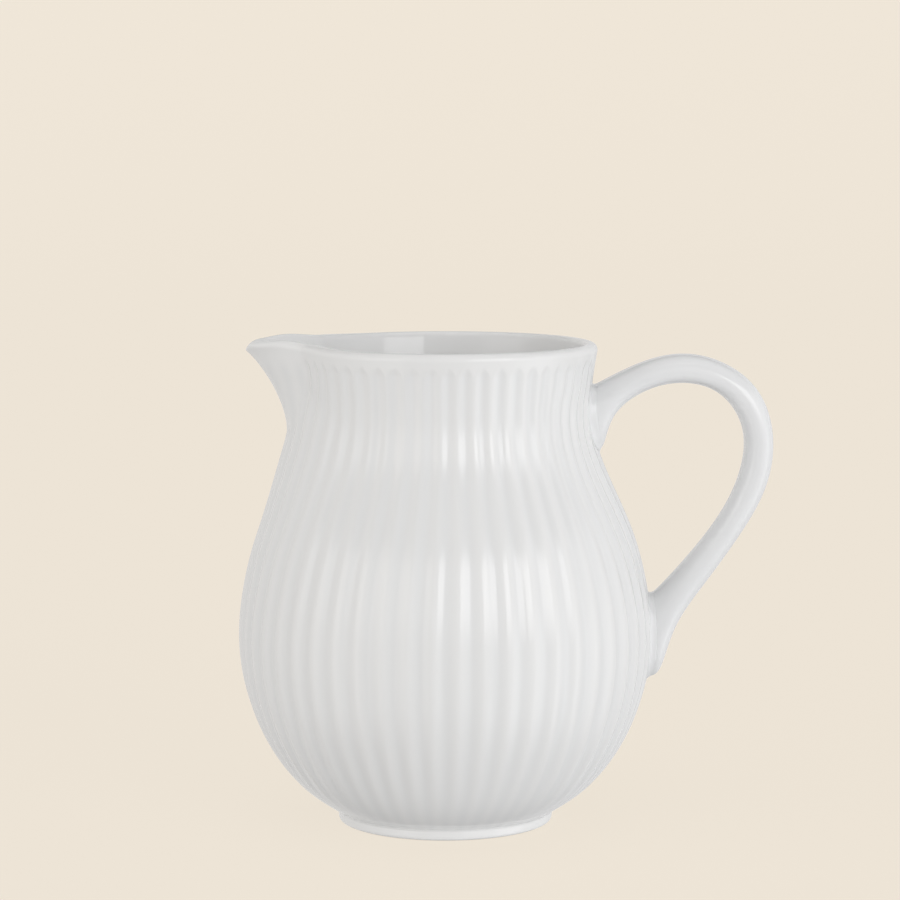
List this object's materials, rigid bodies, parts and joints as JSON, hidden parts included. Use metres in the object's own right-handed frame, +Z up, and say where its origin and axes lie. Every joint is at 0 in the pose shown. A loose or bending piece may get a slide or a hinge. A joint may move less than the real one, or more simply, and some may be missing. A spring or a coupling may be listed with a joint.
{
  "type": "cream jug",
  "caption": "Ribbed round-bellied porcelain cream jug with a pulled pouring spout, a strap handle and a turned foot ring.",
  "frame": {"origin": "centre of the foot ring's resting face, on the jug's axis", "axes": "+Z up along the jug's axis, -X towards the pouring spout, +X towards the handle, Y across"},
  "size_m": [0.1165, 0.0902, 0.1063],
  "materials": {
    "glazed_body": "clear gloss glaze over white porcelain",
    "glazed_handle": "clear gloss glaze over white porcelain",
    "slip": "glazed porcelain slip",
    "foot": "glazed side, bare ground porcelain where it stands"
  },
  "bodies": {
    "root": {"body": "glazed_body", "spout": "glazed_body", "foot_ring": "foot", "handle": "glazed_handle", "upper_handle_joint": "slip", "lower_handle_joint": "slip"}
  },
  "joints": []
}
